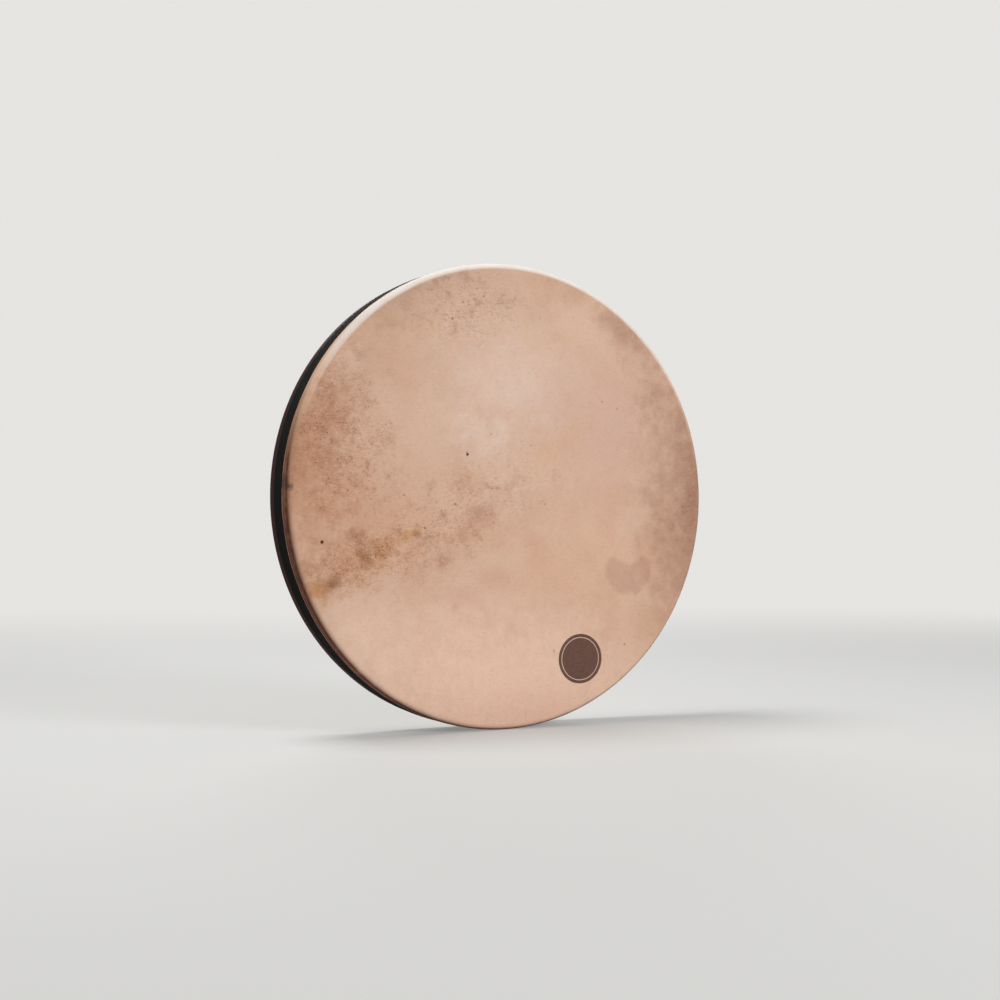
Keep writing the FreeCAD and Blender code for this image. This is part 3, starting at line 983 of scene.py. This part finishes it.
# The skin: one hide, tight over the front, turned over the edge and glued down the side
skin = {
    "thickness": 0.0009,
    "turn": 0.0064,
    "lap": 0.0150,
    "cutRound": 0.0003,
    "valley": 0.00030,  # the lap lies a little lower between the turn and the cut edge
    "ripple": 0.00012,
    "rippleNoise": (14.0, 3.0),
    "rippleFrom": 0.002,  # inside the turn, where the ripples start
    "rippleFull": 0.03,
    "pucker": 0.00010,
    "puckerNoise": (160.0, 2.0),
    "puckerStretch": (1.0, 0.25, 1.0),
    "outerFace": (0.0001, 0.0004),  # past the inner radius, where a point counts as on the outside
    "wander": 0.0007,
    "wanderNoise": (32.0, 4.0, 0.6),
    "wanderLevels": (0.3, 0.7),
    "wanderFrom": 0.004,  # before the cut edge, where its wander starts
    "onFace": (1.0, 0.0, 1.0),  # keeps a pattern the same through the skin's depth
    "insideFacing": -0.3,  # a point that faces further in than this has the flesh side's finish
    "weld": 1e-6,
    "rings": 44,
    "sections": 600,
    "lapSteps": 14,
    "lapInsideSteps": 8,
    "turnSteps": 16,
    "turnInsideSteps": 12,
    "cutRoundSteps": 4,
    "cutSteps": 2,
}


def skinProfile():
    face, edge, turn, corner, steps = drum["face"], drum["radius"], skin["turn"], skin["cutRound"], skin["lapSteps"]
    back, inside = face + skin["thickness"], edge - skin["thickness"]
    cut, flatRadius = face + skin["lap"], edge - turn
    hub = (flatRadius, face + turn)
    points = [(0.0, face)] + between((0.0, face), (flatRadius, face), skin["rings"])
    points += arc(hub, turn, -90, 0, skin["turnSteps"])[1:]
    for step, (radius, y) in enumerate(between((edge, face + turn), (edge, cut - corner), steps), 1):
        points.append((radius - skin["valley"] * math.sin(math.pi * step / steps) ** 2, y))
    points += arc((edge - corner, cut - corner), corner, 0, 90, skin["cutRoundSteps"])[1:]
    points += between((edge - corner, cut), (inside, cut), skin["cutSteps"])
    points += between((inside, cut), (inside, face + turn), skin["lapInsideSteps"])
    points += arc(hub, turn - skin["thickness"], 0, -90, skin["turnInsideSteps"])[1:]
    points += between((flatRadius, back), (0.0, back), skin["rings"])
    return points[::-1]


def stretchedSkinTree():
    tree, put, out = newTree(
        "Stretched Skin",
        "GeometryNodeTree",
        [
            ("Geometry", "Geometry", None),
            ("Axis Height", "Float", 0.2286),
            ("Sections", "Int", 600),
            ("Ripple", "Float", 0.0001),
            ("Pucker", "Float", 0.0001),
            ("Wander", "Float", 0.0005),
            ("Flat Radius", "Float", 0.2222),
            ("Turn End", "Float", -0.01875),
            ("Cut", "Float", -0.01015),
            ("Inner Radius", "Float", 0.2277),
            ("Outside", "Material", None),
            ("Inside", "Material", None),
        ],
        [("Geometry", "Geometry")],
    )
    axisHeight, flatRadius, cutY = put["Axis Height"], put["Flat Radius"], put["Cut"]
    sheet = sweep(tree, put["Geometry"], (2 * math.pi, 0.0, 0.0), put["Sections"], False)
    angle, radius, depth = [product(tree, value, -1.0) for value in parts(tree, position(tree))]
    turned = moved(tree, sheet, onDrum(tree, radius, angle, depth, axisHeight))
    joined = addNode(tree, "GeometryNodeMergeByDistance", {"Geometry": turned, "Distance": skin["weld"]})

    place = position(tree)
    x, y, z = parts(tree, place)
    height = less(tree, z, axisHeight)
    outward = slant(tree, x, height)
    start, full = [less(tree, flatRadius, skin[name]) for name in ("rippleFrom", "rippleFull")]
    level = noise(tree, stretch(tree, place, skin["onFace"]), *skin["rippleNoise"])
    dip = product(tree, level, fade(tree, outward, start, full), put["Ripple"])
    onLap = fade(tree, y, put["Turn End"], cutY)
    outside = fade(tree, outward, *[total(tree, put["Inner Radius"], past) for past in skin["outerFace"]])
    folds = noise(tree, stretch(tree, place, skin["puckerStretch"]), *skin["puckerNoise"])
    pull = product(tree, folds, onLap, outside, put["Pucker"])
    squeeze = less(tree, 1.0, calc(tree, "DIVIDE", pull, calc(tree, "MAXIMUM", outward, 0.01)))
    knife = noise(tree, stretch(tree, place, skin["onFace"]), *skin["wanderNoise"])
    nearCut = fade(tree, y, less(tree, cutY, skin["wanderFrom"]), cutY)
    trimmed = product(tree, fade(tree, knife, *skin["wanderLevels"]), nearCut, put["Wander"])
    deep = less(tree, total(tree, y, dip), trimmed)
    rise = total(tree, axisHeight, product(tree, height, squeeze))
    shaped = point(tree, product(tree, x, squeeze), deep, rise)
    lively = moved(tree, joined, shaped)

    facingX, facingY, facingZ = parts(tree, addNode(tree, "GeometryNodeInputNormal"))
    x, _, z = parts(tree, position(tree))
    outwards = total(tree, product(tree, facingX, x), product(tree, facingZ, less(tree, z, axisHeight)))
    outwards = less(tree, calc(tree, "DIVIDE", outwards, flatRadius), facingY)
    inward = calc(tree, "LESS_THAN", outwards, skin["insideFacing"])
    whole = addNode(tree, "GeometryNodeRealizeInstances", {"Geometry": lively})
    faced = painted(tree, whole, put["Outside"])
    feed(tree, out["Geometry"], painted(tree, faced, put["Inside"], inward))
    return tree


values = {
    "Axis Height": drum["radius"],
    "Sections": skin["sections"] + 1,
    "Ripple": skin["ripple"],
    "Pucker": skin["pucker"],
    "Wander": skin["wander"],
    "Flat Radius": drum["radius"] - skin["turn"],
    "Turn End": drum["face"] + skin["turn"],
    "Cut": drum["face"] + skin["lap"],
    "Inner Radius": drum["radius"] - skin["thickness"],
    "Outside": headOutside,
    "Inside": headInside,
}
drumSkin = grow("drumSkin", chain("drumSkin", skinProfile(), False), stretchedSkinTree(), values)
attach(drumSkin, "root")
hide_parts("goat_skin")
pieces.append(drumSkin)
print("skin stretched")
for piece in pieces:
    print(piece.name, len(piece.data.polygons), "faces")


# Studio: a floor that fades into the background, three soft lamps and a plain surround
studio = {
    "floor": (0.62, 0.62, 0.61, 1.0),
    "background": (0.79, 0.78, 0.76, 1.0),
    "lift": 0.30,  # how far the floor is drawn towards the background for the camera near the drum
    "floorHole": 0.0005,
    "floorRadius": 2.6,
    "floorSides": 96,
    "fadeFrom": 0.9,
    "fadeTo": 2.5,
    "fill": (0.16, 0.16, 0.16, 1.0),
}


def studioFloorMaterial():
    material, tree, shader = newMaterial("studioPaper", Roughness=0.9, Specular_IOR_Level=0.05)
    shader.inputs["Base Color"].default_value = studio["floor"]
    away = pair(tree, "LENGTH", objectPlace(tree)).outputs["Value"]
    far = fade(tree, away, studio["fadeFrom"], studio["fadeTo"], studio["lift"], 1.0)
    glow = addNode(tree, "ShaderNodeEmission", {"Color": studio["background"]})
    mix = addNode(tree, "ShaderNodeMixShader", {0: product(tree, seenDirectly(tree), far), 1: shader, 2: glow})
    feed(tree, tree.nodes["Material Output"].inputs["Surface"], mix)
    return material


def studioFloor():
    sides = studio["floorSides"]
    turns = [2 * math.pi * side / sides for side in range(sides)]
    rings = (studio["floorHole"], studio["floorRadius"])
    vertices = [(radius * math.cos(turn), radius * math.sin(turn), 0.0) for radius in rings for turn in turns]
    faces = [(side, sides + side, sides + (side + 1) % sides, (side + 1) % sides) for side in range(sides)]
    mesh = bpy.data.meshes.new("studioFloor")
    mesh.from_pydata(vertices, [], faces)
    mesh.materials.append(studioFloorMaterial())
    item = bpy.data.objects.new("studioFloor", mesh)
    scene.collection.objects.link(item)


def turnTo(item, direction):
    item.rotation_euler = mathutils.Vector(direction).to_track_quat("-Z", "Y").to_euler()


lamps = {  # place, aim, size and power
    "overhead": ((-0.60, 0.28, 2.2), (0.0, 0.0, 0.3), 1.0, 36.0),
    "frontRight": ((1.18, -2.54, 1.15), (0.0, 0.0, 0.22), 1.3, 54.0),
    "behind": ((0.9, 2.6, 1.4), (0.0, 0.0, 0.22), 1.6, 30.0),
}

studioFloor()
for name, (place, aim, size, power) in lamps.items():
    lamp = bpy.data.lights.new(name, "AREA")
    lamp.shape = "DISK"
    lamp.size = size
    lamp.energy = power
    item = bpy.data.objects.new(name, lamp)
    item.location = place
    turnTo(item, [a - b for a, b in zip(aim, place)])
    item.visible_camera = False
    scene.collection.objects.link(item)

world = bpy.data.worlds.new("studioAir")
scene.world = world
world.use_nodes = True
tree = world.node_tree
tree.nodes.clear()
fill = addNode(tree, "ShaderNodeBackground", {"Color": studio["fill"]})
wallpaper = addNode(tree, "ShaderNodeBackground", {"Color": studio["background"]})
mix = addNode(tree, "ShaderNodeMixShader", {0: seenDirectly(tree), 1: fill, 2: wallpaper})
addNode(tree, "ShaderNodeOutputWorld", {"Surface": mix})
scene.view_settings.view_transform = "Standard"

cameraSetup = {
    "place": (-0.7783, -1.4992, 0.2062),
    "forward": (0.46309, 0.88624, 0.01129),
    "lens": 61.2,
    "sensor": 36.0,
}
camera = bpy.data.objects.new("camera", bpy.data.cameras.new("camera"))
camera.data.lens = cameraSetup["lens"]
camera.data.sensor_width = cameraSetup["sensor"]
camera.location = cameraSetup["place"]
turnTo(camera, cameraSetup["forward"])
scene.collection.objects.link(camera)
scene.camera = camera
print("studio set")
